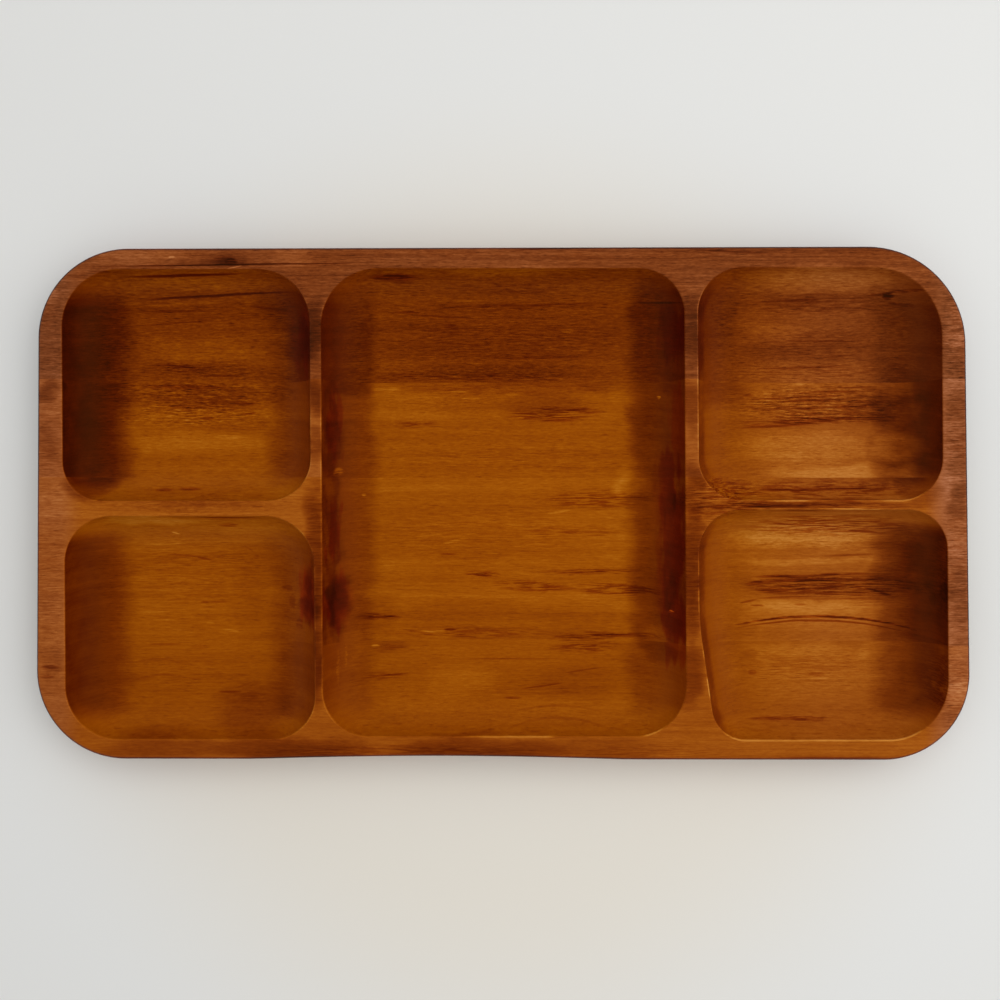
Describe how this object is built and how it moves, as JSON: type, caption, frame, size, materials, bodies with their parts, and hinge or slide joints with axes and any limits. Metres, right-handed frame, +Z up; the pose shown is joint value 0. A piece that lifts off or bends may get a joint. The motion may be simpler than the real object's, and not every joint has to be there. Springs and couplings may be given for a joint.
{
  "type": "compartment tray",
  "caption": "Long wooden serving tray with rounded corners and coved, flat-floored pockets, a large one in the middle and smaller ones at each end, carved from a glued board blank.",
  "frame": {"origin": "on the surface that the tray stands on, under the middle of its outline", "axes": "+X along the tray's length and the grain, towards its right end; +Y towards the back edge; +Z up, out of the pockets"},
  "size_m": [0.5087, 0.2801, 0.026],
  "materials": {
    "back_wood": "oiled, satin, dark red-brown",
    "streaked_wood": "oiled, satin, brown with dark streaks",
    "golden_wood": "oiled, satin, golden brown",
    "front_wood": "oiled, satin, golden brown"
  },
  "bodies": {
    "root": {"back_board": "back_wood", "upper_middle_board": "streaked_wood", "lower_middle_board": "golden_wood", "front_board": "front_wood"}
  },
  "joints": []
}
